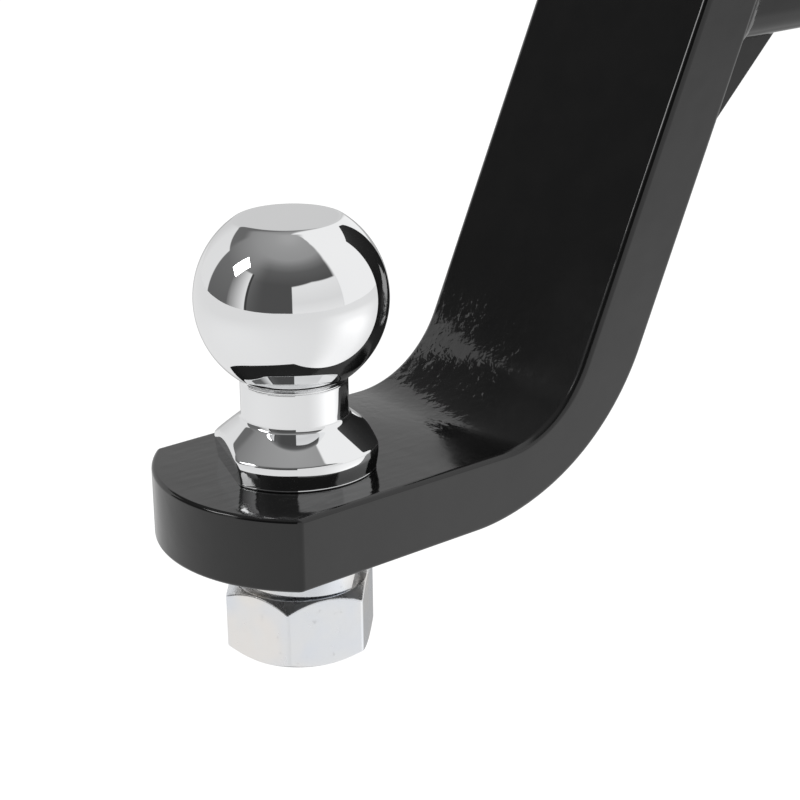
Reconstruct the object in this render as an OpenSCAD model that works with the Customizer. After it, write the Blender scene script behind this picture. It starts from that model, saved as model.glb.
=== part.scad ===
// Drop ball mount for a square receiver: a hollow shank, a bent flat-bar tongue
// and a gusset are welded into one bracket, and a tow ball is bolted through
// the tongue's platform with a split lock washer and a hex nut.
//
// Frame: the origin is the centre of the hitch-pin hole, on the shank's axis.
// +X runs along the shank towards the vehicle, +Z is up, and the ball is at -X.

/* [Shank] */
// Outside width and height of the square tube
shank_size = 50.8; // [44:0.1:58]
// Wall thickness of the square tube
shank_wall = 6.35; // [4:0.05:8]
// Outside corner radius of the square tube
shank_corner = 8; // [7:0.5:12]
// Diameter of the hole for the hitch pin
pin_hole_d = 16.5; // [14:0.1:19]
// Length of shank from the pin hole's centre to the open end
pin_to_end = 63.5; // [40:0.5:80]
// Distance from the pin hole to the ball's axis, along the shank
pin_to_ball = 241.3; // [225:0.1:300]

/* [Tongue] */
// Width of the flat bar
bar_w = 65; // [60:0.5:72]
// Thickness of the flat bar
bar_t = 20; // [16:0.5:24]
// Height from the platform up to the top of the shank
drop = 147.2; // [140:0.1:170]
// Slope of the bar between the platform and the shank, above level
rise_angle = 65.4; // [60:0.2:70]
// Distance from the ball's axis to the corner where the bar's upper faces would meet
heel = 65.7; // [60:0.5:75]
// Radius inside the bend, on the upper face
bend_inner_r = 32; // [20:0.5:38]
// Radius outside the bend, on the lower face
bend_outer_r = 65.6; // [50:0.5:70]
// Distance from the ball's axis to the tip of the rounded nose
nose_reach = 37.4; // [34:0.2:44]
// Depth of the nose curve, from its tip back to the bar's clipped corners
nose_depth = 14.7; // [8:0.1:20]
// Diameter of the hole for the ball's shank
ball_hole_d = 27; // [26.5:0.1:29]
// Height of the bar's rear edge above the top of the shank
bar_overrun = 6; // [5.5:0.5:12]

/* [Gusset] */
// Thickness of the gusset plate
gusset_t = 9.5; // [6:0.5:14]
// Length of the gusset along the underside of the shank
gusset_foot = 49.5; // [35:0.5:60]
// Length of the gusset down the rear face of the tongue
gusset_leg = 84; // [60:1:86]
// Width of the gusset's blunt lower end
gusset_nose = 4; // [3:0.5:8]

/* [Welds] */
// Leg of the fillet welds between shank and tongue
shank_weld_leg = 6; // [3:0.5:6.5]
// Leg of the weld across the top of the shank
top_weld_leg = 5; // [3:0.5:5.5]
// Leg of the fillet welds beside the gusset
gusset_weld_leg = 4.5; // [3:0.5:6]

/* [Ball] */
// Diameter of the ball
ball_d = 50.8; // [47.6:0.1:58.8]
// Height of the ball's centre above the platform
ball_rise = 45.5; // [43:0.5:55]
// Diameter of the flat on top of the ball, where it would meet the ball's surface
ball_flat_d = 27.4; // [16:0.2:30]
// Radius of the rounded edge round the flat
ball_edge_r = 4; // [0.5:0.1:5]
// Diameter of the neck under the ball
neck_d = 28.5; // [26:0.1:32]
// Radius of the fillet between ball and neck
neck_top_fillet = 1; // [0.5:0.1:2.5]
// Radius of the fillet between neck and flange
neck_base_fillet = 2; // [1:0.1:3]
// Diameter of the flange that sits on the platform
flange_d = 45.2; // [40:0.2:50]
// Height of the flange's upright wall
flange_wall = 5.4; // [3:0.1:6.5]
// Radius of the rounding above the upright wall
flange_rim_r = 4; // [2:0.1:9]
// Angle through which that rounding turns
flange_rim_turn = 50; // [30:1:60]
// Radius of the dome from the rounding up to the neck
flange_dome_r = 60; // [14:0.5:80]
// Chamfer around the bottom of the flange
flange_chamfer = 0.7; // [0.2:0.1:1.5]
// Width across the two wrench flats on the flange
wrench_flats = 39; // [36:0.1:40]
// Direction that the wrench flats face, round the ball's axis
wrench_turn = 160; // [0:1:180]

/* [Threaded shank of the ball] */
// Outside diameter of the thread
thread_d = 25.4; // [24:0.1:26]
// Pitch of the thread
thread_pitch = 1.8143; // [1.5:0.01:3]
// Length of the shank below the flange
stud_l = 53.4; // [52:0.1:60]
// Length of plain shank directly below the flange
stud_plain = 17; // [10:0.5:19]
// Chamfer at the lower end of the thread
stud_chamfer = 2; // [1:0.1:3]

/* [Lock washer and nut] */
// Outside diameter of the lock washer
washer_d = 36; // [34:0.1:42]
// Thickness of the lock washer's wire
washer_t = 6.4; // [4:0.1:7]
// Height of the lock washer while the nut is only hand tight
washer_free_h = 12.4; // [9:0.1:14]
// Angle taken out of the lock washer by its split
washer_split = 7; // [4:0.5:12]
// Slant of the split's ends, round the axis
washer_slant = 10; // [0:1:20]
// Direction of the split, round the ball's axis
washer_turn = 291; // [0:1:359]
// Width of the nut across its flats
nut_flats = 37; // [36:0.1:39]
// Height of the nut
nut_h = 19.4; // [18:0.1:24]
// Diameter of the flat faces that the nut's chamfers leave
nut_face_d = 36.2; // [33:0.1:36.4]
// Slope of the chamfer on the nut's upper face, above level
nut_upper_chamfer = 41; // [25:1:45]
// Slope of the chamfer on the nut's lower face, above level
nut_lower_chamfer = 32; // [25:1:45]
// Direction of one of the nut's corners, round the ball's axis
nut_turn = 224.5; // [0:0.5:359]

/* [Fits] */
// Gap all round between the thread's crests and the nut's bore
thread_gap = 0.1; // [0.05:0.01:0.3]
// Gap all round between the thread's crests and the lock washer
washer_gap = 0.4; // [0.2:0.05:0.8]
// Gap above and below the lock washer, which the nut has only just reached
seat_gap = 0.05; // [0:0.01:0.2]

/* [Hidden] */
$fn = 96;

PAINT = [0.05, 0.05, 0.055];
CHROME = [0.86, 0.87, 0.89];
ZINC = [0.74, 0.75, 0.78];
OVER = 1; // how far a cutting shape runs past what it cuts

// Levels and stations in the part's frame
shank_top = shank_size / 2;
shank_bottom = -shank_size / 2;
platform = shank_top - drop;
ball_x = -pin_to_ball;
heel_x = ball_x + heel;
nose_r = (nose_depth * nose_depth + bar_w * bar_w / 4) / (2 * nose_depth);
nose_x = ball_x - nose_reach;
corner_x = nose_x + nose_depth;

// The corner where the bar's lower faces would meet
toe_x = heel_x + bar_t * tan(rise_angle / 2);
toe_z = platform - bar_t;

// Unit vectors in the XZ plane: up the slope, and out of the bar's rear face
slope = [cos(rise_angle), sin(rise_angle)];
rearward = [sin(rise_angle), -cos(rise_angle)];

// Where the bar's rear face meets a level
function rear_x(z) = toe_x + (z - toe_z) / tan(rise_angle);
bar_end = (shank_top + bar_overrun - toe_z) / sin(rise_angle);

stud_r = thread_d / 2;
washer_top = platform - bar_t - seat_gap;
washer_base = washer_top - washer_free_h;
nut_top = washer_base - seat_gap;
thread_depth = 0.6 * thread_pitch;

// ---- Helpers ------------------------------------------------------------

// Stands an XZ outline up and gives it a width centred on Y = 0
module across(width) {
    rotate([90, 0, 0])
        linear_extrude(width, center = true) children();
}

// Square bar along +X with round corners, centred on the X axis
module round_square_bar(size, corner, x0, x1) {
    flat = size - 2 * corner;
    for (turn = [0, 90])
        rotate([turn, 0, 0])
            translate([x0, -size / 2, -flat / 2])
                cube([x1 - x0, size, flat]);
    for (sy = [-1, 1], sz = [-1, 1])
        translate([x0, sy * flat / 2, sz * flat / 2])
            rotate([0, 90, 0]) cylinder(h = x1 - x0, r = corner);
}

// Section of a fillet weld in a corner that opens by angle, with a bulging face
module bead_section(leg, angle) {
    sink = 1.5 * leg;
    half = angle / 2;
    bead_r = norm([leg + sink * cos(half), sink * sin(half)]);
    reach = 3 * leg;
    intersection() {
        polygon([[0, 0], [reach, 0], reach * [cos(half), sin(half)], reach * [cos(angle), sin(angle)]]);
        translate(-sink * [cos(half), sin(half)]) circle(bead_r);
    }
}

// The half space behind the bar's rear face
module behind_bar(size = 400) {
    translate([toe_x, 0, toe_z])
        rotate([0, -rise_angle, 0])
            translate([-size / 2, -size / 2, -size])
                cube(size);
}

// ---- Bracket ------------------------------------------------------------

// Outline of the bar seen from the side, with both bends as true arcs
module tongue_profile() {
    inner_t = bend_inner_r * tan(rise_angle / 2);
    outer_t = bend_outer_r * tan(rise_angle / 2);
    heel_p = [heel_x, platform];
    toe_p = [toe_x, toe_z];
    difference() {
        union() {
            polygon([
                [nose_x, toe_z], toe_p, toe_p + bar_end * slope,
                toe_p + bar_end * slope - bar_t * rearward, heel_p, [nose_x, platform]
            ]);
            difference() {
                polygon([heel_p - [inner_t, 0], heel_p, heel_p + inner_t * slope]);
                translate([heel_x - inner_t, platform + bend_inner_r]) circle(bend_inner_r);
            }
        }
        difference() {
            polygon([
                toe_p - [outer_t, 0], toe_p - [outer_t, OVER], toe_p + OVER * [1, -1],
                toe_p + outer_t * slope + OVER * rearward, toe_p + outer_t * slope
            ]);
            translate([toe_x - outer_t, toe_z + bend_outer_r]) circle(bend_outer_r);
        }
    }
}

// Bent flat bar with a rounded, clipped nose and the hole for the ball
module tongue() {
    color(PAINT)
    difference() {
        intersection() {
            across(bar_w) tongue_profile();
            union() {
                translate([nose_x + nose_r, 0, toe_z - OVER])
                    cylinder(h = bar_t + 2 * OVER, r = nose_r);
                translate([corner_x, -bar_w, toe_z - OVER])
                    cube([pin_to_ball, 2 * bar_w, drop + bar_t + bar_overrun + bar_t + 2 * OVER]);
            }
        }
        translate([ball_x, 0, toe_z - OVER])
            cylinder(h = bar_t + 2 * OVER, d = ball_hole_d);
    }
}

// Square tube, mitred to the tongue's rear face, with the pin hole through both sides
module shank_tube() {
    front = rear_x(shank_bottom) - OVER;
    color(PAINT)
    difference() {
        intersection() {
            round_square_bar(shank_size, shank_corner, front, pin_to_end);
            behind_bar(2 * pin_to_ball);
        }
        round_square_bar(shank_size - 2 * shank_wall, shank_corner - shank_wall,
            front - OVER, pin_to_end + OVER);
        rotate([90, 0, 0])
            cylinder(h = shank_size + 2 * OVER, d = pin_hole_d, center = true);
    }
}

// Plate in the corner under the shank, behind the tongue
module gusset() {
    root = [rear_x(shank_bottom), shank_bottom];
    tip = root - gusset_leg * slope;
    color(PAINT)
        across(gusset_t)
            polygon([root, root + [gusset_foot, 0], tip + gusset_nose * rearward, tip]);
}

// ---- Welds --------------------------------------------------------------

// Upright bead between one side of the shank and the tongue's rear face
module weld_shank_side(side) {
    run = (shank_size - 2 * shank_corner) / sin(rise_angle);
    foot = [rear_x(shank_bottom + shank_corner), shank_bottom + shank_corner];
    color(PAINT)
        mirror([0, side > 0 ? 0 : 1, 0])
            translate([foot[0], shank_size / 2, foot[1]])
                rotate([0, 90 - rise_angle, 0])
                    linear_extrude(run) bead_section(shank_weld_leg, 90);
}

// Bead across the top of the shank
module weld_shank_top() {
    flat = shank_size - 2 * shank_corner;
    color(PAINT)
        translate([rear_x(shank_top), 0, shank_top])
            across(flat) bead_section(top_weld_leg, rise_angle);
}

// Beads across the underside of the shank, one on each side of the gusset's beads
module weld_shank_bottom() {
    inner = gusset_t / 2 + gusset_weld_leg;
    run = shank_size / 2 - shank_corner - inner;
    color(PAINT)
        for (side = [-1, 1])
            translate([rear_x(shank_bottom), side * (inner + run / 2), shank_bottom])
                across(run)
                    mirror([0, 1]) bead_section(shank_weld_leg, 180 - rise_angle);
}

// Two beads on one side of the gusset: up the tongue, and along the shank
module weld_gusset(side) {
    root = [rear_x(shank_bottom), shank_bottom];
    inset = 3; // bare length left at each bead's outer end
    tip = root - (gusset_leg - inset) * slope;
    color(PAINT)
        mirror([0, side > 0 ? 0 : 1, 0])
            intersection() {
                union() {
                    translate([tip[0], gusset_t / 2, tip[1]])
                        rotate([0, 90 - rise_angle, 0])
                            linear_extrude(gusset_leg) bead_section(gusset_weld_leg, 90);
                    translate([root[0] - gusset_weld_leg, gusset_t / 2, shank_bottom])
                        rotate([90, 0, 90])
                            linear_extrude(gusset_foot - inset + gusset_weld_leg)
                                mirror([0, 1]) bead_section(gusset_weld_leg, 90);
                }
                behind_bar(2 * pin_to_ball);
                translate([-2 * pin_to_ball, 0, shank_bottom - drop])
                    cube([2 * pin_to_ball, shank_size, drop]);
            }
}

// ---- Tow ball -----------------------------------------------------------

// Half section of the ball above the neck, with the flat and its rounded edge
module ball_top_section() {
    ball_r = ball_d / 2;
    flat_rise = sqrt(ball_r * ball_r - ball_flat_d * ball_flat_d / 4);
    edge_rise = flat_rise - ball_edge_r;
    edge_x = sqrt(pow(ball_r - ball_edge_r, 2) - edge_rise * edge_rise);
    touch = [edge_x, edge_rise] * ball_r / (ball_r - ball_edge_r);
    translate([0, ball_rise])
        difference() {
            intersection() {
                circle(ball_r);
                translate([0, -ball_r]) square([ball_r, ball_r + flat_rise]);
            }
            difference() {
                polygon([[edge_x, edge_rise], [edge_x, flat_rise + OVER],
                    [touch[0] + OVER, flat_rise + OVER], touch * (1 + OVER / ball_r)]);
                translate([edge_x, edge_rise]) circle(ball_edge_r);
            }
        }
}

// Half section of the neck, with its fillet into the ball
module neck_section() {
    ball_r = ball_d / 2;
    neck_r = neck_d / 2;
    fillet_x = neck_r + neck_top_fillet;
    fillet_z = ball_rise - sqrt(pow(ball_r + neck_top_fillet, 2) - fillet_x * fillet_x);
    touch_x = fillet_x * ball_r / (ball_r + neck_top_fillet);
    square([neck_r, ball_rise]);
    difference() {
        polygon([[0, fillet_z], [fillet_x, fillet_z], [touch_x, ball_rise], [0, ball_rise]]);
        translate([fillet_x, fillet_z]) circle(neck_top_fillet);
        translate([touch_x, fillet_z - OVER]) square([ball_r, ball_rise]);
    }
}

// Slice of a disc between two directions
module sector(centre, r, a0, a1) {
    middle = (a0 + a1) / 2;
    intersection() {
        translate(centre) circle(r);
        polygon([centre, centre + 2 * r * [cos(a0), sin(a0)],
            centre + 2 * r * [cos(middle), sin(middle)], centre + 2 * r * [cos(a1), sin(a1)]]);
    }
}

// Half section of the domed flange, with its fillet into the neck
module flange_section() {
    flange_r = flange_d / 2;
    neck_r = neck_d / 2;
    out = [cos(flange_rim_turn), sin(flange_rim_turn)];
    rim_c = [flange_r - flange_rim_r, flange_wall];
    change = rim_c + flange_rim_r * out;
    dome_c = change - flange_dome_r * out;
    crown_turn = acos((neck_r - dome_c[0]) / flange_dome_r);
    crown = dome_c + flange_dome_r * [cos(crown_turn), sin(crown_turn)];
    reach = flange_dome_r + neck_base_fillet;
    fillet_x = neck_r + neck_base_fillet;
    fillet_z = dome_c[1] + sqrt(reach * reach - pow(fillet_x - dome_c[0], 2));
    touch = dome_c + ([fillet_x, fillet_z] - dome_c) * flange_dome_r / reach;
    polygon([[0, 0], [flange_r - flange_chamfer, 0], [flange_r, flange_chamfer],
        [flange_r, flange_wall], change, crown, [0, crown[1]]]);
    sector(rim_c, flange_rim_r, 0, flange_rim_turn);
    intersection() {
        sector(dome_c, flange_dome_r, flange_rim_turn, crown_turn);
        translate([0, flange_wall]) square([flange_r, ball_rise]);
    }
    difference() {
        polygon([[0, touch[1]], touch, [fillet_x, fillet_z], [0, fillet_z]]);
        translate([fillet_x, fillet_z]) circle(neck_base_fillet);
    }
}

// Half section of the threaded shank, with one ring for each turn of the thread
module stud_section() {
    turns = floor((stud_l - stud_plain - stud_chamfer) / thread_pitch);
    difference() {
        translate([0, -stud_l]) square([stud_r, stud_l + OVER]);
        for (turn = [0 : turns - 1])
            translate([stud_r, -stud_plain - (turn + 0.5) * thread_pitch])
                polygon([[0, -0.45 * thread_pitch], [0, 0.45 * thread_pitch], [-thread_depth, 0]]);
        polygon([[stud_r - stud_chamfer, -stud_l - OVER], [stud_r + OVER, -stud_l - OVER],
            [stud_r + OVER, -stud_l + stud_chamfer + OVER], [stud_r - stud_chamfer - OVER, -stud_l - OVER]]);
    }
}

// One forging: ball, neck, flange with two wrench flats, and threaded shank
module hitch_ball() {
    color(CHROME)
    translate([ball_x, 0, platform]) {
        difference() {
            rotate_extrude() {
                ball_top_section();
                neck_section();
                flange_section();
            }
            for (side = [0, 180])
                rotate([0, 0, wrench_turn + side])
                    translate([wrench_flats / 2, -flange_d, -OVER])
                        cube([flange_d, 2 * flange_d, ball_rise - ball_d / 2]);
        }
        rotate_extrude() stud_section();
    }
}

// Split spring washer, coiled left-handed, with one end on the tongue and one on the nut
module lock_washer() {
    inner_r = thread_d / 2 + washer_gap;
    outer_r = washer_d / 2;
    steps = 72;
    corners = [[inner_r, 0], [outer_r, 0], [outer_r, washer_t], [inner_r, washer_t]];
    turn_l = 360 - washer_split;
    climb = washer_free_h - washer_t;
    points = [
        for (i = [0 : steps]) for (c = corners)
            let (a = washer_turn + (washer_split + 2 * turn_l * i / steps) / 2
                + washer_slant * (c[1] / washer_t - 0.5))
            [c[0] * cos(a), c[0] * sin(a), washer_base + climb * (1 - i / steps) + c[1]]
    ];
    sides = [
        for (i = [0 : steps - 1]) for (k = [0 : 3])
            let (p = 4 * i + k, q = 4 * i + (k + 1) % 4)
            each [[p, q, q + 4], [p, q + 4, p + 4]]
    ];
    last = 4 * steps;
    ends = [[0, 3, 2], [0, 2, 1], [last, last + 1, last + 2], [last, last + 2, last + 3]];
    color(ZINC)
    translate([ball_x, 0, 0])
        polyhedron(points, concat(sides, ends));
}

// Hex nut, chamfered on both faces
module hex_nut() {
    corner_r = nut_flats / 2 / cos(30);
    face_r = nut_face_d / 2;
    bore_r = thread_d / 2 + thread_gap;
    lead_in = thread_depth;
    widest = corner_r + OVER;
    color(ZINC)
    translate([ball_x, 0, nut_top - nut_h])
    difference() {
        intersection() {
            rotate([0, 0, nut_turn]) cylinder(h = nut_h, r = corner_r, $fn = 6);
            rotate_extrude()
                polygon([[0, -OVER], [face_r - OVER / tan(nut_lower_chamfer), -OVER],
                    [widest, (widest - face_r) * tan(nut_lower_chamfer)],
                    [widest, nut_h - (widest - face_r) * tan(nut_upper_chamfer)],
                    [face_r - OVER / tan(nut_upper_chamfer), nut_h + OVER], [0, nut_h + OVER]]);
        }
        translate([0, 0, -OVER]) cylinder(h = nut_h + 2 * OVER, r = bore_r);
        translate([0, 0, -OVER])
            cylinder(h = lead_in + 2 * OVER, r1 = bore_r + lead_in + OVER, r2 = bore_r - OVER);
        translate([0, 0, nut_h - lead_in - OVER])
            cylinder(h = lead_in + 2 * OVER, r1 = bore_r - OVER, r2 = bore_r + lead_in + OVER);
    }
}

tongue();
shank_tube();
gusset();
weld_shank_side(-1);  // weld_shank_left
weld_shank_side(1);  // weld_shank_right
weld_shank_top();
weld_shank_bottom();
weld_gusset(-1);  // weld_gusset_left
weld_gusset(1);  // weld_gusset_right
hitch_ball();
lock_washer();
hex_nut();
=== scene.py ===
import bpy
import bmesh
import math
import numpy as np
from mathutils import Matrix, Vector

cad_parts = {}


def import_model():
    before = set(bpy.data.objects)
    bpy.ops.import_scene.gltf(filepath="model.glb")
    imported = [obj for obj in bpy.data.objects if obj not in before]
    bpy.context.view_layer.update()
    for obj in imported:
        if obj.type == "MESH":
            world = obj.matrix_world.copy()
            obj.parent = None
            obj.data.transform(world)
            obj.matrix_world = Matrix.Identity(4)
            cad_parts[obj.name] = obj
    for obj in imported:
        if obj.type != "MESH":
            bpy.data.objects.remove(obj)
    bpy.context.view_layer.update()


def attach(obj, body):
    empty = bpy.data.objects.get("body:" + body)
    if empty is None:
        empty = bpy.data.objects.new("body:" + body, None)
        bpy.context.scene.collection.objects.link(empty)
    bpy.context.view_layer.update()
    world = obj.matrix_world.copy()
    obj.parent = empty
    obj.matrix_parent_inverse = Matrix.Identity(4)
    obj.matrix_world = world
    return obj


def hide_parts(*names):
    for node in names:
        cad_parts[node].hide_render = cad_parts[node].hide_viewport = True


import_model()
pi = math.pi

# ---------------------------------------------------------------- sizes, in mm
# Local frame of the sums below: origin on the ball's axis at the platform,
# +X towards the vehicle, +Z up. P() takes it to the row frame, in metres.
OX, OZ = -241.3, -121.8


def P(x, y, z):
    return ((x + OX) * 0.001, y * 0.001, (z + OZ) * 0.001)


RISE = math.radians(65.4)
CA, SA = math.cos(RISE), math.sin(RISE)
BAR_T, BAR_HALF = 20.0, 32.5
REAR_TOP = 153.2
SHANK_Z = 121.8
SHANK_HALF, SHANK_CORNER, SHANK_WALL = 25.4, 8.0, 6.35
SHANK_END = 304.8
PIN_X, PIN_R = 241.3, 8.25
GUSSET_HALF = 4.75
BALL_Z, BALL_R = 45.5, 25.4
NECK_R = 14.25
WRENCH_TURN = 160.0
THREAD_R, THREAD_DEPTH, PITCH = 12.7, 1.05, 1.8143
STUD_END = -53.4
# a line along the inside of the bend, in the row frame
BEND_AT = P(62.0, 0.0, 12.0)


def rear_x(z):
    """Where the tongue's rear face is at height z."""
    return 78.54 + (z + 20.0) / math.tan(RISE)


# ---------------------------------------------------------------- mesh helpers
def put(name, verts, faces, body, nodes, mat, sharp=None):
    """A mesh piece from verts in local mm, riding on a body."""
    me = bpy.data.meshes.new(name)
    me.from_pydata([P(*v) for v in verts], [], faces)
    bm = bmesh.new()
    bm.from_mesh(me)
    bmesh.ops.recalc_face_normals(bm, faces=bm.faces)
    for f in bm.faces:
        f.smooth = True
    if sharp is not None:
        lim = math.radians(sharp)
        for e in bm.edges:
            if len(e.link_faces) == 2 and e.calc_face_angle(0.0) > lim:
                e.smooth = False
    bm.to_mesh(me)
    bm.free()
    ob = bpy.data.objects.new(name, me)
    bpy.context.scene.collection.objects.link(ob)
    me.materials.append(mat)
    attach(ob, body)
    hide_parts(*nodes)
    return ob


def rings(rows, poles=True):
    """Verts and faces for closed rows of points, with a pole at each end."""
    nr, nc = len(rows), len(rows[0])
    v = [p for r in rows for p in r]
    f = []
    for i in range(nr - 1):
        for j in range(nc):
            k = (j + 1) % nc
            f.append((i * nc + j, i * nc + k, (i + 1) * nc + k, (i + 1) * nc + j))
    if poles:
        for i in (0, nr - 1):
            c = np.mean(np.array(rows[i]), axis=0)
            v.append(tuple(c))
            for j in range(nc):
                k = (j + 1) % nc
                f.append((i * nc + j, i * nc + k, len(v) - 1))
    return v, f


def polar(r, deg, z):
    """A point from its distance to the ball's axis and its angle."""
    a = math.radians(deg)
    return (r * math.cos(a), r * math.sin(a), z)


def arc(cx, cz, r, a0, a1, n):
    """Points round an arc, from angle a0 to a1 in degrees."""
    return [(cx + r * math.cos(math.radians(a0 + (a1 - a0) * i / n)),
             cz + r * math.sin(math.radians(a0 + (a1 - a0) * i / n))) for i in range(n + 1)]


def adder(v):
    """A function that adds a point to v and gives its index."""
    def point(x, y, z):
        v.append((x, y, z))
        return len(v) - 1
    return point


def smin(a, b, k):
    """The smaller of a and b, rounded over a width k where they meet."""
    h = max(k - abs(a - b), 0.0) / k
    return min(a, b) - h * h * k * 0.25


def bevel(ob, width, seg=4, angle=30):
    m = ob.modifiers.new("edge_radius", "BEVEL")
    m.width = width * 0.001
    m.segments = seg
    m.limit_method = "ANGLE"
    m.angle_limit = math.radians(angle)
    m.harden_normals = True
    m.use_clamp_overlap = True
    return m


# ---------------------------------------------------------------- materials
def nodes_of(name):
    m = bpy.data.materials.new(name)
    m.use_nodes = True
    nt = m.node_tree
    nt.nodes.clear()
    out = nt.nodes.new("ShaderNodeOutputMaterial")
    b = nt.nodes.new("ShaderNodeBsdfPrincipled")
    nt.links.new(b.outputs[0], out.inputs[0])
    co = nt.nodes.new("ShaderNodeTexCoord")
    return m, nt, b, co.outputs["Object"]


def setin(nt, node, key, val):
    if hasattr(val, "is_output"):
        nt.links.new(val, node.inputs[key])
    else:
        node.inputs[key].default_value = val


def math_n(nt, op, a, b=0.0):
    n = nt.nodes.new("ShaderNodeMath")
    n.operation = op
    setin(nt, n, 0, a)
    setin(nt, n, 1, b)
    return n.outputs[0]


def mul(nt, a, b):
    return math_n(nt, "MULTIPLY", a, b)


def add(nt, a, b):
    return math_n(nt, "ADD", a, b)


def sub(nt, a, b):
    return math_n(nt, "SUBTRACT", a, b)


def length(nt, a, b):
    """Length of the flat vector (a, b)."""
    return math_n(nt, "SQRT", add(nt, mul(nt, a, a), mul(nt, b, b)))


def noise(nt, vec, scale, detail=2.0, rough=0.5, dist=0.0):
    n = nt.nodes.new("ShaderNodeTexNoise")
    setin(nt, n, "Vector", vec)
    n.inputs["Scale"].default_value = scale
    n.inputs["Detail"].default_value = detail
    n.inputs["Roughness"].default_value = rough
    n.inputs["Distortion"].default_value = dist
    return n.outputs[0]


def ramp(nt, fac, lo, hi, a=0.0, b=1.0, smooth=True):
    n = nt.nodes.new("ShaderNodeMapRange")
    n.interpolation_type = "SMOOTHSTEP" if smooth else "LINEAR"
    setin(nt, n, 0, fac)
    setin(nt, n, 1, lo)
    setin(nt, n, 2, hi)
    setin(nt, n, 3, a)
    setin(nt, n, 4, b)
    return n.outputs[0]


def wire(nt, shader, sockets):
    for key, source in sockets.items():
        nt.links.new(source, shader.inputs[key])


def mixcol(nt, fac, a, b):
    n = nt.nodes.new("ShaderNodeMix")
    n.data_type = "RGBA"
    setin(nt, n, 0, fac)
    setin(nt, n, 6, a)
    setin(nt, n, 7, b)
    return n.outputs[2]


def bump(nt, height, dist, strength=1.0, normal=None):
    n = nt.nodes.new("ShaderNodeBump")
    n.inputs["Distance"].default_value = dist
    setin(nt, n, "Strength", strength)
    setin(nt, n, "Height", height)
    if normal is not None:
        nt.links.new(normal, n.inputs["Normal"])
    return n.outputs[0]


def mapping(nt, vec, scale=(1, 1, 1), loc=(0, 0, 0), rot=(0, 0, 0)):
    n = nt.nodes.new("ShaderNodeMapping")
    nt.links.new(vec, n.inputs[0])
    n.inputs["Location"].default_value = loc
    n.inputs["Rotation"].default_value = rot
    n.inputs["Scale"].default_value = scale
    return n.outputs[0]


def sep(nt, vec):
    n = nt.nodes.new("ShaderNodeSeparateXYZ")
    nt.links.new(vec, n.inputs[0])
    return n.outputs


def bend_marks(nt, co, rough, nrm):
    """What bending, coating and use left on the tongue, added to rough and nrm."""
    x, y, z = sep(nt, co)
    d = length(nt, sub(nt, x, BEND_AT[0]), sub(nt, z, BEND_AT[2]))
    near = ramp(nt, d, 0.011, 0.040, 1.0, 0.0)
    # near the bend the surface leans away towards the far edge
    off = math_n(nt, "MAXIMUM", add(nt, y, 0.0165), 0.0)
    crown = mul(nt, mul(nt, mul(nt, off, off), -1.10), near)
    nrm = bump(nt, crown, 1.0, normal=nrm)
    # puckered coat on the inside of the bend, in patches
    patch = ramp(nt, noise(nt, co, 70.0), 0.36, 0.62, 0.25, 1.0)
    pucker = mul(nt, near, mul(nt, patch, ramp(nt, y, -0.026, -0.002)))
    grain = noise(nt, mapping(nt, co, scale=(1.0, 0.8, 1.0)), 420.0, 2.0, 0.5, 0.3)
    nrm = bump(nt, grain, 0.00030, strength=pucker, normal=nrm)
    # long rolling marks across the platform
    roll = noise(nt, mapping(nt, co, scale=(1.0, 0.18, 1.0), rot=(0, 0, 0.7)), 160.0)
    nrm = bump(nt, roll, 0.00004, normal=nrm)
    rough = add(nt, rough, ramp(nt, d, 0.012, 0.045, 0.03, 0.0))
    # duller coat along the near edge of the bend
    dull = mul(nt, ramp(nt, d, 0.028, 0.050, 0.12, 0.0), ramp(nt, y, -0.020, -0.004, 1.0, 0.0))
    rough = add(nt, rough, dull)
    # rubbed and streaked round the ball's seat
    seat = length(nt, sub(nt, x, P(0, 0, 0)[0]), y)
    worn = ramp(nt, seat, 0.029, 0.042, 1.0, 0.0)
    streak = noise(nt, mapping(nt, co, scale=(0.22, 1.0, 1.0)), 420.0)
    nrm = bump(nt, streak, 0.00007, strength=worn, normal=nrm)
    return add(nt, rough, mul(nt, worn, 0.05)), nrm


def coat_material(name, bent=False, ior=1.56):
    """Gloss black powder coat: fine orange peel over long soft waves."""
    m, nt, b, co = nodes_of(name)
    tint = ramp(nt, noise(nt, co, 90.0, 3.0, 0.55), 0.3, 0.7)
    black = mixcol(nt, tint, (0.0014, 0.0014, 0.0015, 1), (0.0028, 0.0027, 0.0027, 1))
    rough = ramp(nt, noise(nt, co, 420.0), 0.2, 0.8, 0.03, 0.07)
    nrm = bump(nt, noise(nt, co, 55.0), 0.00021)
    nrm = bump(nt, noise(nt, co, 520.0), 0.000006, normal=nrm)
    if bent:
        rough, nrm = bend_marks(nt, co, rough, nrm)
    b.inputs["IOR"].default_value = ior
    wire(nt, b, {"Base Color": black, "Roughness": rough, "Normal": nrm})
    return m


def chrome_material():
    """Mirror chrome plate with a very faint waviness."""
    m, nt, b, co = nodes_of("mirror_chrome")
    b.inputs["Metallic"].default_value = 1.0
    wire(nt, b, {
        "Base Color": mixcol(nt, noise(nt, co, 60.0), (0.855, 0.862, 0.872, 1), (0.885, 0.888, 0.892, 1)),
        "Roughness": ramp(nt, noise(nt, co, 900.0, 2.0, 0.6), 0.3, 0.8, 0.012, 0.03),
        "Normal": bump(nt, noise(nt, co, 130.0, 1.0, 0.4), 0.000010),
    })
    return m


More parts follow.
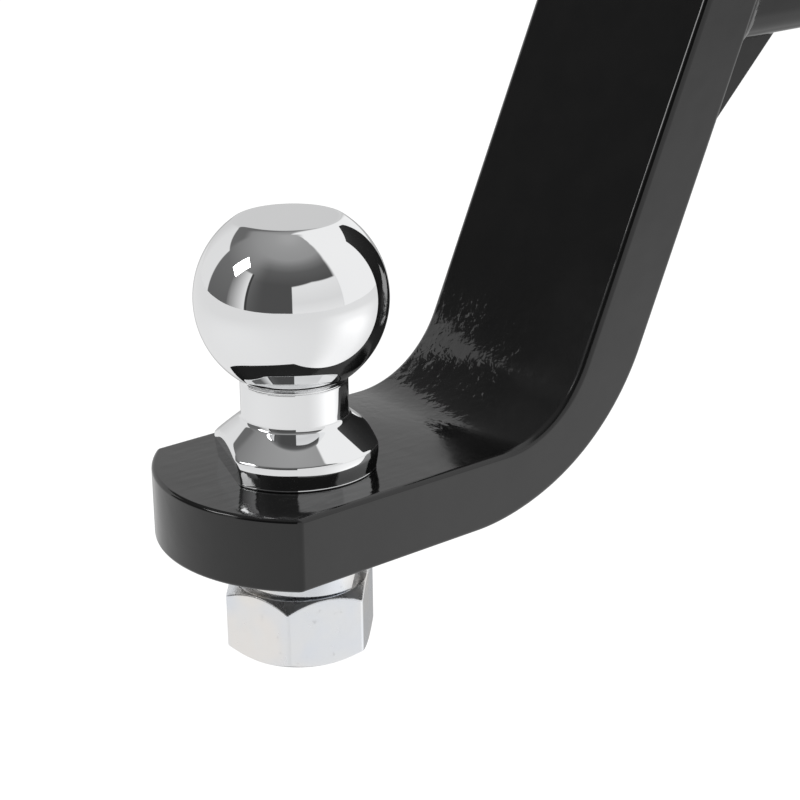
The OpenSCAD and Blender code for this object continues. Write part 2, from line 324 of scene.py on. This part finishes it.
def zinc_material(name, rough, tone):
    """Bright zinc plate: faint blue and straw clouding, dull spots, soft drawing marks."""
    m, nt, b, co = nodes_of(name)

    def shade(red, green, blue):
        return (red * tone, green * tone, blue * tone, 1)

    cloud = noise(nt, mapping(nt, co, loc=(3.1, 1.7, 0.4)), 45.0)
    base = mixcol(nt, ramp(nt, cloud, 0.42, 0.62), shade(0.79, 0.815, 0.86), shade(0.87, 0.845, 0.82))
    base = mixcol(nt, ramp(nt, noise(nt, co, 70.0, 3.0, 0.6), 0.35, 0.75), base, shade(0.83, 0.84, 0.85))
    spots = ramp(nt, noise(nt, co, 330.0, 3.0, 0.6), 0.62, 0.74)
    base = mixcol(nt, mul(nt, spots, 0.35), base, shade(0.45, 0.45, 0.46))
    # turned ends and chamfers keep a rougher cut than the drawn flats
    tc = nt.nodes.new("ShaderNodeTexCoord")
    cut = ramp(nt, math_n(nt, "ABSOLUTE", sep(nt, tc.outputs["Normal"])[2]), 0.25, 0.5)
    drawn = ramp(nt, noise(nt, co, 260.0, 3.0, 0.6), 0.25, 0.75, rough - 0.04, rough + 0.06)
    nrm = bump(nt, noise(nt, co, 110.0, 3.0, 0.5), 0.00006)
    nrm = bump(nt, noise(nt, co, 900.0), 0.000003, normal=nrm)
    nrm = bump(nt, noise(nt, co, 520.0, 3.0, 0.6), 0.00009, strength=cut, normal=nrm)
    b.inputs["Metallic"].default_value = 1.0
    wire(nt, b, {"Base Color": base, "Roughness": add(nt, drawn, mul(nt, cut, 0.06)), "Normal": nrm})
    return m


COAT = coat_material("black_powder_coat")
COAT_BEND = coat_material("black_powder_coat_bent", bent=True)
# painted shade: the shank and gusset get the same coat with a lower IOR, so their reflections come out
# dimmer
COAT_SHANK_DIMMED = coat_material("black_powder_coat_shank_dimmed", ior=1.45)
CHROME = chrome_material()
ZINC = zinc_material("bright_zinc", rough=0.22, tone=0.99)
ZINC_WASHER = zinc_material("dull_zinc", rough=0.27, tone=0.93)


# ---------------------------------------------------------------- ball forging
def ball_profile():
    """(r, z) from the middle of the flange's underside up to the flat top."""
    foot_r, lip, wall_z = 21.7, 0.36, 0.8
    widest, widest_z, rim_z = 22.6, 4.7, 6.47
    rim_x, rim_y, rim_r, rim_end = 21.262, 6.303, 1.2, 48.5
    cone_r, base_x, base_fillet, top_fillet = 150.0, 16.25, 2.0, 2.3
    top_z, top_edge = 66.889, 4.0
    # foot lip, barrel-shaped wall, tight rim
    p = [(20.6, 0.0), (21.5, 0.0), (foot_r, 0.0)]
    p += arc(foot_r, lip, lip, -90, 30, 10)[1:]
    p += [(22.02, wall_z)]
    for i in range(1, 14):
        t = 1 - i / 13
        p.append((widest - 0.58 * t ** 1.3, widest_z - (widest_z - wall_z) * t))
    for i in range(1, 9):
        t = i / 8
        p.append((widest - 0.15 * t ** 1.4, widest_z + (rim_z - widest_z) * t))
    p += arc(rim_x, rim_y, rim_r, 8, rim_end, 12)[1:]
    # almost conical top, and the fillet up into the neck
    ca = math.radians(rim_end)
    cx, cz = rim_x - (cone_r - rim_r) * math.cos(ca), rim_y - (cone_r - rim_r) * math.sin(ca)
    dx = base_x - cx
    dz = math.sqrt((cone_r + base_fillet) ** 2 - dx ** 2)
    top = math.degrees(math.atan2(dz, dx))
    p += arc(cx, cz, cone_r, rim_end, top, 24)[1:]
    p += arc(base_x, cz + dz, base_fillet, top + 180, 180, 14)[1:]
    # neck, then the turned rings where it meets the ball
    nx = NECK_R + top_fillet
    nz = BALL_Z - math.sqrt((BALL_R + top_fillet) ** 2 - nx ** 2)
    p += [(NECK_R, cz + dz + (nz - cz - dz) * i / 8) for i in range(1, 9)]
    up = math.degrees(math.atan2(BALL_Z - nz, nx))
    n, grooves = 84, 4
    for i in range(1, n + 1):
        a = math.radians(180 - up * i / n)
        groove = 0.05 * (0.5 - 0.5 * math.cos(2 * pi * grooves * i / n)) * min(1.0, 4 * (1 - i / n))
        p.append((nx + (top_fillet + groove) * math.cos(a), nz + (top_fillet + groove) * math.sin(a)))
    # the ball, its rounded top edge and the flat
    ez = top_z - top_edge
    ex = math.sqrt((BALL_R - top_edge) ** 2 - (ez - BALL_Z) ** 2)
    flat = math.degrees(math.atan2(ez - BALL_Z, ex))
    p += arc(0, BALL_Z, BALL_R, -up, flat, 84)[1:]
    p += arc(ex, ez, top_edge, flat, 90, 22)[1:]
    return p + [(r, top_z) for r in (ex - 0.5, ex - 2.0, 6.0, 0.6)]


def wrench_columns(half, fine, coarse):
    """Angles over half a turn: fine steps beside a wrench flat, coarse ones past it."""
    a, out = WRENCH_TURN - half, []
    while a < WRENCH_TURN + half:
        out.append(a)
        a += fine
    a = WRENCH_TURN + half
    while a < WRENCH_TURN + 180 - half:
        out.append(a)
        a += coarse
    return out


def ball():
    cols = wrench_columns(36.0, 0.35, 1.55)
    cols = cols + [c + 180 for c in cols]
    flats_end = 16.0
    rows = []
    for r, z in ball_profile():
        if z < flats_end:
            # half the width across the flats, a little less at the foot
            flat = 19.5 - 0.8 * max(6.0 - z, 0.0) / 6.0
            off = [max(abs(math.cos(math.radians(a - WRENCH_TURN))), 0.05) for a in cols]
            rows.append([polar(smin(r, flat / c, 0.9), a, z) for a, c in zip(cols, off)])
        else:
            rows.append([polar(r, a, z) for a in cols])
    v, f = rings(rows)
    return put("tow_ball", v, f, "bracket", ["hitch_ball"], CHROME, sharp=24)


def thread_r(u):
    """Radius at u pitches along the thread: flat crest, 60 degree flanks, flat root."""
    d = abs(u % 1.0 - 0.5) * 2.0
    t = min(max((d - 0.14) / 0.70, 0.0), 1.0)
    return THREAD_R - THREAD_DEPTH * t


def stud_radius(deg, z):
    """The thread runs out under the flange and ends in a chamfer below."""
    fade = min(max((-17.0 - z) / 2.2, 0.0), 1.0)
    r = THREAD_R - (THREAD_R - thread_r(z / PITCH - deg / 360.0)) * fade
    chamfer = 10.9 + max(z - STUD_END, 0.0) * 0.95
    return min(r, chamfer)


def stud():
    cols = [3.0 * j for j in range(120)]
    z_hi = -16.6
    n = int((z_hi - STUD_END) / PITCH * 10) + 2
    # slightly dished end
    rows = [[polar(r, a, z) for a in cols]
            for r, z in ((0.8, STUD_END + 0.5), (3.0, STUD_END + 0.3), (4.2, STUD_END), (8.0, STUD_END))]
    for i in range(n + 1):
        z = STUD_END + (z_hi - STUD_END) * i / n
        rows.append([polar(stud_radius(a, z), a, z) for a in cols])
    rows.append([polar(THREAD_R, a, 0.4) for a in cols])
    v, f = rings(rows)
    return put("ball_shank", v, f, "bracket", ["hitch_ball"], CHROME, sharp=40)


# ---------------------------------------------------------------- bent tongue
def tongue():
    v, f = [], []
    point = adder(v)
    # rounded nose, clipped by the bar's two sides
    n, nose_r, nose_x = 36, 43.28, 5.88
    clip = math.degrees(math.asin(BAR_HALF / nose_r))
    nose = [polar(nose_r, -clip + 2 * clip * i / n, 0.0) for i in range(n + 1)]
    nose_top = [point(nose_x - x, y, 0.0) for x, y, _ in nose]
    nose_low = [point(nose_x - x, y, -BAR_T) for x, y, _ in nose]
    # outlines of the upper and lower faces, seen from the side, up to the square-cut end
    end = (rear_x(REAR_TOP), REAR_TOP)
    upper = arc(45.16, 32.0, 32.0, -90, -90 + 65.4, 40) + [(end[0] - BAR_T * SA, end[1] + BAR_T * CA)]
    lower = arc(36.42, 45.6, 65.6, -90, -90 + 65.4, 56) + [end]
    ul, ur, ll, lr = [[point(x, side * BAR_HALF, z) for x, z in outline]
                      for outline in (upper, lower) for side in (-1, 1)]
    mid_top, mid_low = point(upper[0][0], 0, 0), point(lower[0][0], 0, -BAR_T)
    # the hole for the ball's shank
    m, hole_r = 72, 13.5
    hole_top, hole_low = [[point(*polar(hole_r, 360 * j / m, z)) for j in range(m)] for z in (0.0, -BAR_T)]
    h = n // 2
    for rim, hole, mid, left, right in ((nose_top, hole_top, mid_top, ul[0], ur[0]),
                                        (nose_low, hole_low, mid_low, ll[0], lr[0])):
        f.append(rim[:h + 1] + hole[m // 2:] + [hole[0], mid, left])
        f.append(rim[h:] + [right, mid] + hole[:m // 2 + 1])
    f.append([ul[0], mid_top, ur[0], ur[1], ul[1]])
    f.append([ll[0], mid_low, lr[0], lr[1], ll[1]])
    for a, b in ((ul, ur), (ll, lr)):
        f += [[a[i], b[i], b[i + 1], a[i + 1]] for i in range(1, len(a) - 1)]
    f += [[nose_top[i], nose_top[i + 1], nose_low[i + 1], nose_low[i]] for i in range(n)]
    f.append([nose_top[0]] + ul + ll[::-1] + [nose_low[0]])
    f.append([nose_top[-1]] + ur + lr[::-1] + [nose_low[-1]])
    f.append([ul[-1], ur[-1], lr[-1], ll[-1]])
    for j in range(m):
        k = (j + 1) % m
        f.append([hole_top[j], hole_top[k], hole_low[k], hole_low[j]])
    ob = put("tongue_bar", v, f, "bracket", ["tongue"], COAT_BEND)
    # rounder edges along the bend and the rise than round the platform
    me = ob.data
    weight = me.attributes.new("bevel_weight_edge", "FLOAT", "EDGE")
    beside = {}
    for poly in me.polygons:
        for key in poly.edge_keys:
            beside.setdefault(key, []).append(poly)
    for e in me.edges:
        pair = beside[e.key]
        if len(pair) == 2 and pair[0].normal.angle(pair[1].normal) >= math.radians(30):
            x = 500.0 * sum(me.vertices[q].co.x for q in e.vertices) - OX
            t = min(max((x - 28.0) / 30.0, 0.0), 1.0)
            weight.data[e.index].value = 0.55 + 0.45 * t * t * (3 - 2 * t)
    bevel(ob, 2.0, 6).limit_method = "WEIGHT"
    return ob


# ---------------------------------------------------------------- shank tube
def rounded_square(half, r, seg=12):
    """(y, z, normal y, normal z) round the shank's section."""
    out = []
    for q in range(4):
        cy = (half - r) * (1 if q in (0, 3) else -1)
        cz = (half - r) * (1 if q in (0, 1) else -1)
        for i in range(seg + 1):
            a = math.radians(90 * q + 90 * i / seg)
            out.append((cy + r * math.cos(a), SHANK_Z + cz + r * math.sin(a), math.cos(a), math.sin(a)))
    return out


def shank():
    v, f = [], []
    point = adder(v)
    seg, m = 12, 64
    n = 4 * (seg + 1)
    # the columns before the two side walls, which hold the pin's hole
    walls = {-1: 2 * seg + 1, 1: n - 1}
    shells = []
    for inset in (0.0, SHANK_WALL):
        half = SHANK_HALF - inset
        pts = rounded_square(half, SHANK_CORNER - inset, seg)
        near = [point(rear_x(z), y, z) for y, z, _, _ in pts]
        far = [point(SHANK_END, y, z) for y, z, _, _ in pts]
        shells.append({"half": half, "ends": (near, far), "hole": {}, "mid": {}})
    for shell in shells:
        near, far = shell["ends"]
        for j in range(n):
            if j not in walls.values():
                k = (j + 1) % n
                f.append([near[j], near[k], far[k], far[j]])
        for side, j in walls.items():
            k = (j + 1) % n
            y = side * shell["half"]
            hole = [point(PIN_X + c, y, SHANK_Z + d)
                    for c, d, _ in (polar(PIN_R, 360 * q / m, 0.0) for q in range(m))]
            hi, lo = (j, k) if v[near[j]][2] > v[near[k]][2] else (k, j)
            mid = (point(rear_x(SHANK_Z), y, SHANK_Z), point(SHANK_END, y, SHANK_Z))
            f.append([mid[0], near[hi], far[hi], mid[1]] + hole[:m // 2 + 1])
            f.append([mid[0]] + hole[m // 2:] + [hole[0], mid[1], far[lo], near[lo]])
            shell["hole"][side], shell["mid"][side] = hole, mid
    outer, inner = shells
    for side in walls:
        a, b = outer["hole"][side], inner["hole"][side]
        for q in range(m):
            w = (q + 1) % m
            f.append([a[q], a[w], b[w], b[q]])
    # the wall's two ends
    for e in (0, 1):
        a, b = outer["ends"][e], inner["ends"][e]
        for j in range(n):
            k = (j + 1) % n
            if j in walls.values():
                side = -1 if j == walls[-1] else 1
                mid_a, mid_b = outer["mid"][side][e], inner["mid"][side][e]
                f += [[a[j], mid_a, mid_b, b[j]], [mid_a, a[k], b[k], mid_b]]
            else:
                f.append([a[j], a[k], b[k], b[j]])
    ob = put("shank_body", v, f, "bracket", ["shank_tube"], COAT_SHANK_DIMMED)
    bevel(ob, 0.6, 3, 40)
    return ob


# ---------------------------------------------------------------- gusset
def gusset():
    leg, blunt_w, foot = 84.0, 4.0, 49.5
    z = SHANK_Z - SHANK_HALF
    x = rear_x(z)
    tip = (x - leg * CA, z - leg * SA)
    # blunt lower end, square to the tongue
    blunt = (tip[0] + blunt_w * SA, tip[1] - blunt_w * CA)
    outline = [(x, z), tip, blunt, (x + foot, z)]
    v = [(px, side * GUSSET_HALF, pz) for side in (-1, 1) for px, pz in outline]
    f = [[0, 1, 2, 3], [4, 5, 6, 7]] + [[i, (i + 1) % 4, (i + 1) % 4 + 4, i + 4] for i in range(4)]
    ob = put("gusset_plate", v, f, "bracket", ["gusset"], COAT_SHANK_DIMMED)
    bevel(ob, 0.8, 4)
    return ob


# ---------------------------------------------------------------- weld beads
def bead(name, path, nodes, leg_a, leg_b, pitch=2.6, phase=0.0):
    """A rippled fillet weld. path has (point, dir_a, dir_b): the root and the
    directions along the two plates. The legs are measured along them."""
    pts = [np.array(p, float) for p, _, _ in path]
    s = [0.0]
    for a, b in zip(pts, pts[1:]):
        s.append(s[-1] + float(np.linalg.norm(b - a)))
    total, k = s[-1], 0
    steps, across, under = int(total / 0.32), 14, 0.8
    rows = []
    for i in range(steps + 1):
        d = total * i / steps
        while k < len(s) - 2 and s[k + 1] < d:
            k += 1
        w = (d - s[k]) / max(s[k + 1] - s[k], 1e-9)
        c = pts[k] * (1 - w) + pts[k + 1] * w
        da, db = [np.array(path[k][q]) * (1 - w) + np.array(path[k + 1][q]) * w for q in (1, 2)]
        da, db = da / np.linalg.norm(da), db / np.linalg.norm(db)
        taper = math.sqrt(min(1.0, 0.18 + min(d, total - d) / 3.2))
        wobble = 0.10 * math.sin(d * 0.9 + phase) + 0.08 * math.sin(d * 2.3 + phase * 2)
        row = [tuple(c - (da + db) * under), tuple(c - db * under + da * leg_a * taper)]
        for q in range(across + 1):
            t = q / across
            ripple = abs(math.sin(pi * (d + 1.5 * (1 - (2 * t - 1) ** 2) + wobble) / pitch)) ** 0.6
            # straight fillet face with a little crown, and a groove between ripples
            h = 0.13 * math.sin(pi * t) - 0.028 * (1 - ripple) * math.sin(pi * min(max(t, 0.06), 0.94))
            h *= leg_a * 0.7
            row.append(tuple(c + da * ((1 - t) * leg_a * taper + h) + db * (t * leg_b * taper + h)))
        row.append(tuple(c - da * under + db * leg_b * taper))
        rows.append(row)
    v, f = rings(rows)
    return put(name, v, f, "bracket", nodes, COAT, sharp=50)


def welds():
    z0 = SHANK_Z - SHANK_HALF
    x0 = rear_x(z0)
    # round the shank, from one side of the gusset to the other
    pts = rounded_square(SHANK_HALF, SHANK_CORNER)
    start = next(i for i, (y, z, ny, nz) in enumerate(pts)
                 if y > 0 and z < z0 + 0.1 and ny > -0.01 and nz < -0.99)
    ring = [(9.6, z0, 0.0, -1.0)] + pts[start:] + pts[:start] + [(-9.6, z0, 0.0, -1.0)]
    dense = []
    for a, b in zip(ring, ring[1:]):
        n = max(1, int(math.hypot(b[0] - a[0], b[1] - a[1])))
        dense += [tuple(p + (q - p) * i / n for p, q in zip(a, b)) for i in range(n)]
    path = []
    for y, z, ny, nz in dense + [ring[-1]]:
        da = np.array([nz * CA, ny, nz * SA])
        path.append(((rear_x(z), y, z), tuple(da / np.linalg.norm(da)), (1.0, 0.0, 0.0)))
    runs = ["weld_shank_" + side for side in ("left", "right", "top", "bottom")]
    bead("shank_weld_bead", path, runs, 6.6, 8.6, pitch=2.9)
    # up the tongue and out along the shank, on each side of the gusset
    for sgn, side in ((-1, "left"), (1, "right")):
        y, out = sgn * GUSSET_HALF, (0.0, float(sgn), 0.0)
        up = [((x0 - d * CA, y, z0 - d * SA), (SA, 0.0, -CA), out) for d in np.linspace(80.5, 1.0, 60)]
        along = [((x0 + d, y, z0), (0.0, 0.0, -1.0), out) for d in np.linspace(1.0, 46.0, 40)]
        bead("gusset_weld_bead_" + side, up + along, ["weld_gusset_" + side], 4.3, 4.3, phase=1.0 + sgn)


# ---------------------------------------------------------------- lock washer
def washer():
    steps, t, base = 220, 6.4, -32.45
    climb, split, turn, slant = 6.0, 7.0, 291.0, 10.0
    inner_r, outer_r, edge = 13.1, 18.0, 0.55
    sec = []
    for r, z, a in ((outer_r - edge, t / 2 - edge, 0), (inner_r + edge, t / 2 - edge, 90),
                    (inner_r + edge, edge - t / 2, 180), (outer_r - edge, edge - t / 2, 270)):
        sec += arc(r, z, edge, a, a + 90, 5)
    rows = []
    for i in range(steps + 1):
        w = i / steps
        z0 = base + climb * (1 - w) + t / 2
        a0 = turn + split / 2 + (360 - split) * w
        rows.append([polar(r, a0 + slant * z / t, z0 + z) for r, z in sec])
    v, f = rings(rows)
    return put("split_lock_washer", v, f, "washer", ["lock_washer"], ZINC_WASHER, sharp=40)


# ---------------------------------------------------------------- hex nut
def nut():
    z0, z1 = -51.9, -32.5
    flat, face, turn = 18.5, 18.1, 224.5
    upper, lower = math.tan(math.radians(41)), math.tan(math.radians(32))
    # columns close together at the six corners
    cols = []
    for q in range(6):
        a = -30.0
        while a < 29.99:
            cols.append(turn + 60 * q + a)
            a += 0.3 if abs(a) < 3.0 else (1.0 if abs(a) < 12 else 2.0)
    cols = sorted(set(round(c % 360, 4) for c in cols))
    # rows close together at the two chamfers
    zs = [z0, z0 + 0.08]

    def climb(z, end, step):
        while z < end:
            zs.append(z)
            z += step
        return z

    climb(climb(z0 + 0.16, z0 + 2.6, 0.12), z1 - 3.2, 0.9)
    climb(z1 - 3.2, z1 - 0.1, 0.12)
    zs += [z1 - 0.08, z1]

    def hexagon(a, z):
        m = min((a - turn) % 60, 60 - (a - turn) % 60)
        r1 = flat / math.cos(math.radians(30 - m))
        r2 = flat / math.cos(math.radians(30 + m)) if m < 20 else 99.0
        # soft corner between two flats, then the chamfers at both faces
        r = smin(r1, r2, 0.75)
        return smin(smin(r, face + (z1 - z) / upper, 0.42), face + (z - z0) / lower, 0.36)

    def bore(a, z):
        lead = 13.6 - 1.1 * min(z - z0, z1 - z)
        return max(thread_r(z / PITCH - a / 360.0) + 0.12, lead)

    rows = [[polar(hexagon(a, z), a, z) for a in cols] for z in zs]
    nb = int((z1 - z0) / PITCH * 10)
    for i in range(nb + 1):
        z = z1 + (z0 - z1) * i / nb
        rows.append([polar(bore(a, z), a, z) for a in cols])
    v, f = rings(rows, poles=False)
    nc = len(cols)
    last = (len(rows) - 1) * nc
    for j in range(nc):
        k = (j + 1) % nc
        f.append((last + j, last + k, k, j))
    return put("heavy_hex_nut", v, f, "nut", ["hex_nut"], ZINC, sharp=60)


ball()
stud()
tongue()
shank()
gusset()
welds()
washer()
nut()

# ---------------------------------------------------------------- camera
cam = bpy.data.cameras.new("camera")
# the focal length is 2048.57 pixels of an 800 pixel image
cam.sensor_width = 36.0
cam.lens = 2048.57 * cam.sensor_width / 800.0
cam.clip_start, cam.clip_end = 0.02, 60.0
cam_ob = bpy.data.objects.new("camera", cam)
bpy.context.scene.collection.objects.link(cam_ob)
right = Vector((0.77557776, -0.63115345, -0.0111564))
up = Vector((0.22816015, 0.2638029, 0.93720381))
back = Vector((-0.58857633, -0.72941987, 0.34860372))
rot = Matrix((right, up, back)).transposed()
cam_ob.matrix_world = Matrix.Translation((-0.536124, -0.409383, 0.082433)) @ rot.to_4x4()
bpy.context.scene.camera = cam_ob


# ---------------------------------------------------------------- studio
FLOOR_Z = -0.62
BALL = (-0.2413, 0.0, -0.0763)


def lay(nt, base, mask, val):
    """base where mask is 0, val where it is 1."""
    return add(nt, mul(nt, base, sub(nt, 1.0, mask)), mul(nt, mask, val))


def band(nt, v, lo, hi, soft=0.8):
    """1 between lo and hi, 0 outside, with soft ends."""
    return mul(nt, ramp(nt, v, lo - soft, lo + soft), ramp(nt, v, hi - soft, hi + soft, 1.0, 0.0))


def azimuth(nt, y, x):
    """0 to 360 degrees from +X towards +Y."""
    az = mul(nt, math_n(nt, "ARCTAN2", y, x), 180.0 / pi)
    return math_n(nt, "MODULO", add(nt, az, 360.0), 360.0)


def curve(nt, v, stops):
    """Straight pieces between (position, value) stops."""
    out = stops[0][1]
    for (p0, v0), (p1, v1) in zip(stops, stops[1:]):
        out = add(nt, out, ramp(nt, v, p0, p1, 0.0, v1 - v0, smooth=False))
    return out


def floor():
    half = 16.0
    me = bpy.data.meshes.new("floor")
    corners = ((-1, -1), (1, -1), (1, 1), (-1, 1))
    me.from_pydata([(x * half, y * half, FLOOR_Z) for x, y in corners], [], [(0, 1, 2, 3)])
    ob = bpy.data.objects.new("floor", me)
    bpy.context.scene.collection.objects.link(ob)
    m = bpy.data.materials.new("pale_floor")
    m.use_nodes = True
    nt = m.node_tree
    nt.nodes.clear()
    out = nt.nodes.new("ShaderNodeOutputMaterial")
    dif = nt.nodes.new("ShaderNodeBsdfDiffuse")
    em = nt.nodes.new("ShaderNodeEmission")
    both = nt.nodes.new("ShaderNodeAddShader")
    lp = nt.nodes.new("ShaderNodeLightPath")
    co = nt.nodes.new("ShaderNodeTexCoord")
    x, y, z = sep(nt, mapping(nt, co.outputs["Object"], loc=(-BALL[0], 0, 0)))
    az = azimuth(nt, y, x)
    # painted shade: in reflections only, the floor's sweep behind the object is darker
    shade = mul(nt, band(nt, az, 12.0, 70.0, 8.0), lp.outputs["Is Glossy Ray"])
    nt.links.new(mixcol(nt, shade, (0.82, 0.82, 0.82, 1), (0.40, 0.40, 0.40, 1)), dif.inputs[0])
    # painted light: in reflections only, the floor in front of it glows lighter, most of all in a wide
    # pool
    painted_light_pool = length(nt, sub(nt, x, 0.96), add(nt, y, 0.96))
    front = add(nt, ramp(nt, length(nt, x, y), 2.0, 4.2, 0.22, 0.04), ramp(nt, painted_light_pool, 0.0, 0.9, 0.19, 0.0))
    painted_glow = add(nt, mul(nt, band(nt, az, 280.0, 340.0, 22.0), front), 0.125)
    painted_glow = mul(nt, painted_glow, lp.outputs["Is Glossy Ray"])
    em.inputs[0].default_value = (1, 1, 1, 1)
    nt.links.new(add(nt, mul(nt, lp.outputs["Is Camera Ray"], 0.40), painted_glow), em.inputs[1])
    nt.links.new(dif.outputs[0], both.inputs[0])
    nt.links.new(em.outputs[0], both.inputs[1])
    nt.links.new(both.outputs[0], out.inputs[0])
    me.materials.append(m)
    return ob


def world():
    """Azimuths and elevations are in degrees."""
    w = bpy.data.worlds.new("studio")
    bpy.context.scene.world = w
    w.use_nodes = True
    nt = w.node_tree
    nt.nodes.clear()
    out = nt.nodes.new("ShaderNodeOutputWorld")
    bg = nt.nodes.new("ShaderNodeBackground")
    nt.links.new(bg.outputs[0], out.inputs[0])
    tc = nt.nodes.new("ShaderNodeTexCoord")
    x, y, z = sep(nt, tc.outputs["Generated"])
    el = mul(nt, math_n(nt, "ARCSINE", z), 180.0 / pi)
    az = azimuth(nt, y, x)
    # the room that glossy surfaces show: darkest low in front, brighter towards the ceiling
    front = curve(nt, el, [(30, 0.080), (45, 0.117), (52, 0.190), (60, 0.315), (75, 0.350), (86, 0.400)])
    side = curve(nt, el, [(0, 0.130), (30, 0.165), (45, 0.240), (60, 0.310), (75, 0.350), (86, 0.400)])
    col = lay(nt, front, ramp(nt, az, 202.0, 168.0), side)
    # white scrim to the right of the object and behind it
    edge = curve(nt, el, [(30, 295.0), (50, 296.0), (60, 300.0), (70, 307.0), (76, 318.0), (82, 340.0)])
    scrim = ramp(nt, sub(nt, az, edge), -3.0, 3.0)
    scrim = math_n(nt, "MAXIMUM", scrim, ramp(nt, az, 40.0, 52.0, 1.0, 0.0))
    col = lay(nt, col, mul(nt, scrim, ramp(nt, el, 76.0, 84.0, 1.0, 0.0)), 0.95)
    # boards standing at the two sides
    right = curve(nt, el, [(-2, 0.86), (10, 0.76), (30, 0.84)])
    head = curve(nt, az, [(235, 28.6), (262, 31.8), (296, 30.0)])
    low = ramp(nt, sub(nt, el, head), -1.0, 1.0, 1.0, 0.0)
    col = lay(nt, col, mul(nt, band(nt, az, 235.0, 296.0, 0.5), low), right)
    left = curve(nt, az, [(48, 0.68), (52, 0.64), (56, 0.65), (75, 0.67), (92, 0.80), (120, 0.82)])
    # dim corner of the room above and behind the left board
    dim = mul(nt, band(nt, az, 58.0, 116.0, 4.0), ramp(nt, el, 54.0, 44.0))
    col = lay(nt, col, dim, 0.15)
    col = lay(nt, col, mul(nt, band(nt, az, 46.0, 119.5, 1.0), ramp(nt, el, 31.5, 33.0, 1.0, 0.0)), left)
    # a lit stand below the soft box
    strip = ramp(nt, az, 154.0, 177.0, 0.18, 0.80, smooth=False)
    strip = lay(nt, strip, ramp(nt, az, 177.5, 178.5), 0.05)
    col = lay(nt, col, mul(nt, band(nt, az, 154.0, 181.0, 0.5), ramp(nt, el, 35.0, 37.0, 1.0, 0.0)), strip)
    # plain light for everything else, and white for the camera
    lp = nt.nodes.new("ShaderNodeLightPath")
    s = lay(nt, 0.80, lp.outputs["Is Glossy Ray"], col)
    s = lay(nt, s, lp.outputs["Is Camera Ray"], 1.0)
    bg.inputs[0].default_value = (1, 1, 1, 1)
    nt.links.new(s, bg.inputs[1])


def lamp(name, az, el, dist, wide, tall, watts, tilt=0.0, target=BALL):
    """A soft box facing the target, tilted so that its top leans to rising azimuth."""
    ld = bpy.data.lights.new(name, "AREA")
    ld.shape = "RECTANGLE"
    ld.size, ld.size_y = wide, tall
    ld.energy = watts
    ob = bpy.data.objects.new(name, ld)
    bpy.context.scene.collection.objects.link(ob)
    a, e, t = math.radians(az), math.radians(el), math.radians(tilt)
    d = Vector((math.cos(e) * math.cos(a), math.cos(e) * math.sin(a), math.sin(e)))
    e_az = Vector((-math.sin(a), math.cos(a), 0.0))
    e_el = Vector((-math.sin(e) * math.cos(a), -math.sin(e) * math.sin(a), math.cos(e)))
    yy = e_az * math.sin(t) + e_el * math.cos(t)
    xx = yy.cross(d)
    rot3 = Matrix((xx, yy, d)).transposed()
    ob.matrix_world = Matrix.Translation(Vector(target) + d * dist) @ rot3.to_4x4()
    return ob


floor()
world()
lamp("soft_box", 156.5, 36.5, 1.6, 0.335, 0.535, 3.4, tilt=28.0)

bpy.context.scene.view_settings.view_transform = "Standard"
